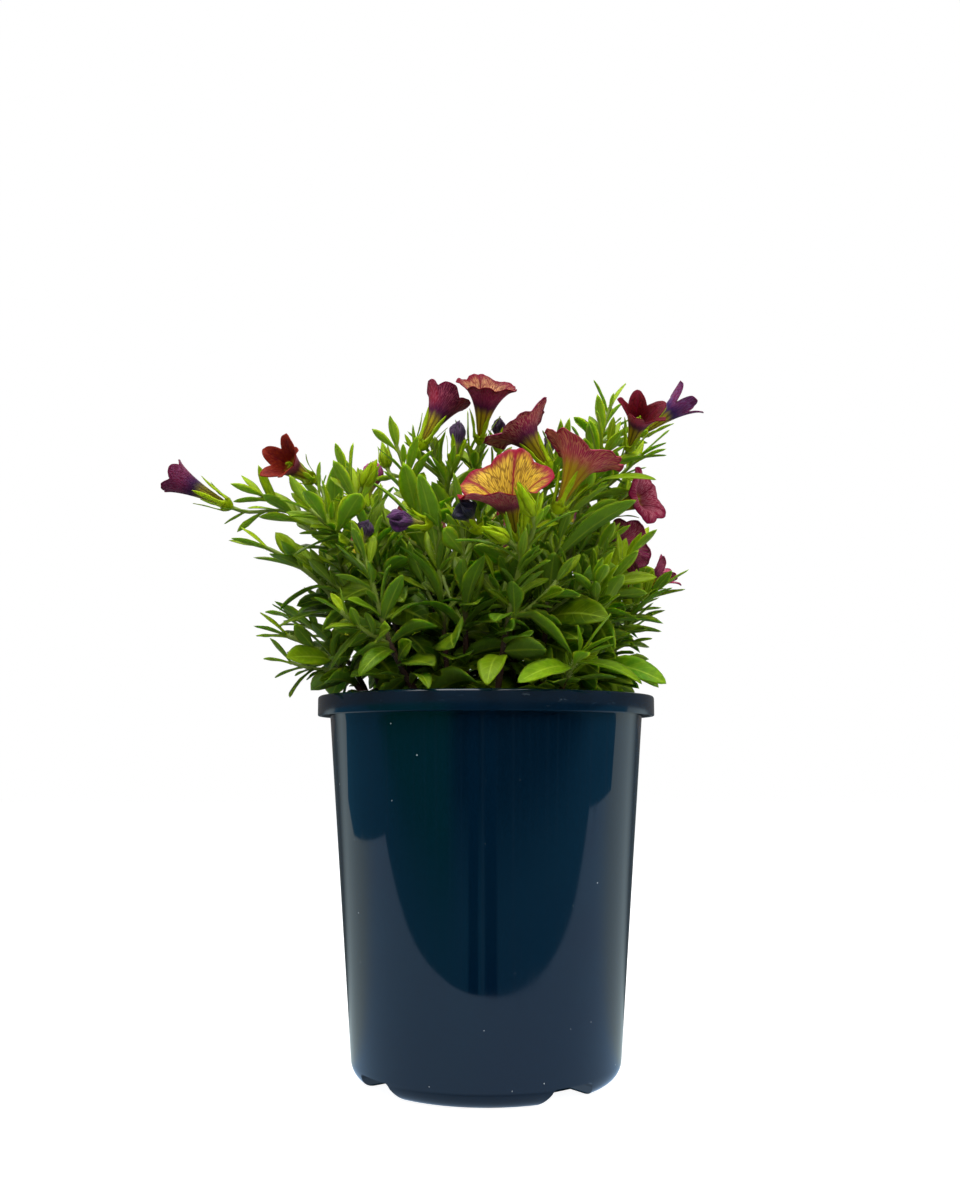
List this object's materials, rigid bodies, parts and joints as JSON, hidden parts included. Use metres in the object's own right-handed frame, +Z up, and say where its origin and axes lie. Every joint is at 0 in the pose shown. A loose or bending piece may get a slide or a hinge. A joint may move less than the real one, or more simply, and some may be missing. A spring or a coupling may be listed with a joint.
{
  "type": "calibrachoa plant in a nursery pot",
  "caption": "Calibrachoa in a round nursery pot: upright leafy stems with open, narrow and star-shaped trumpet blooms, faded blooms and buds over potting mix.",
  "frame": {"origin": "centre of the pot's flat underside, on the surface that it stands on", "axes": "+Z up along the pot's axis; -Y towards the plant's best side, +X to the right seen from there"},
  "size_m": [0.2343, 0.1816, 0.296],
  "materials": {
    "pot": "glossy dark navy injection-moulded plastic, scuffed a little at the rim",
    "mix": "matt dark brown peat and bark crumb",
    "foliage": "satin yellow-green leaf with paler ribs and fine hairs, stems brown-purple low down",
    "petals": "velvety petals from brick orange and salmon to magenta, plum and maroon, with fine veins",
    "faded_petals": "matt crumpled dark plum and navy petals"
  },
  "bodies": {
    "root": {"nursery_pot": "pot", "potting_mix": "mix", "leafy_stem_01": "foliage", "leafy_stem_02": "foliage", "leafy_stem_03": "foliage", "leafy_stem_04": "foliage", "leafy_stem_05": "foliage", "leafy_stem_06": "foliage", "leafy_stem_07": "foliage", "leafy_stem_08": "foliage", "leafy_stem_09": "foliage", "leafy_stem_10": "foliage", "leafy_stem_11": "foliage", "leafy_stem_12": "foliage", "leafy_stem_13": "foliage", "leafy_stem_14": "foliage", "leafy_stem_15": "foliage", "leafy_stem_16": "foliage", "leafy_stem_17": "foliage", "leafy_stem_18": "foliage", "leafy_stem_19": "foliage", "leafy_stem_20": "foliage", "leafy_stem_21": "foliage", "leafy_stem_22": "foliage", "leafy_stem_23": "foliage", "leafy_stem_24": "foliage", "leafy_stem_25": "foliage", "leafy_stem_26": "foliage", "leafy_stem_27": "foliage", "leafy_stem_28": "foliage", "leafy_stem_29": "foliage", "leafy_stem_30": "foliage", "leafy_stem_31": "foliage", "leafy_stem_32": "foliage", "bloom_01": "petals", "bloom_02": "petals", "bloom_03": "petals", "bloom_04": "petals", "bloom_05": "petals", "bloom_06": "petals", "bloom_07": "petals", "bloom_08": "petals", "bloom_09": "petals", "bloom_10": "petals", "bloom_11": "petals", "bloom_12": "petals", "bloom_13": "petals", "bloom_14": "petals", "bloom_15": "petals", "bloom_16": "petals", "bloom_17": "petals", "bloom_18": "petals", "faded_bloom_01": "faded_petals", "faded_bloom_02": "faded_petals", "faded_bloom_03": "faded_petals", "faded_bloom_04": "faded_petals", "faded_bloom_05": "faded_petals", "faded_bloom_06": "faded_petals", "faded_bloom_07": "faded_petals", "faded_bloom_08": "faded_petals"}
  },
  "joints": []
}
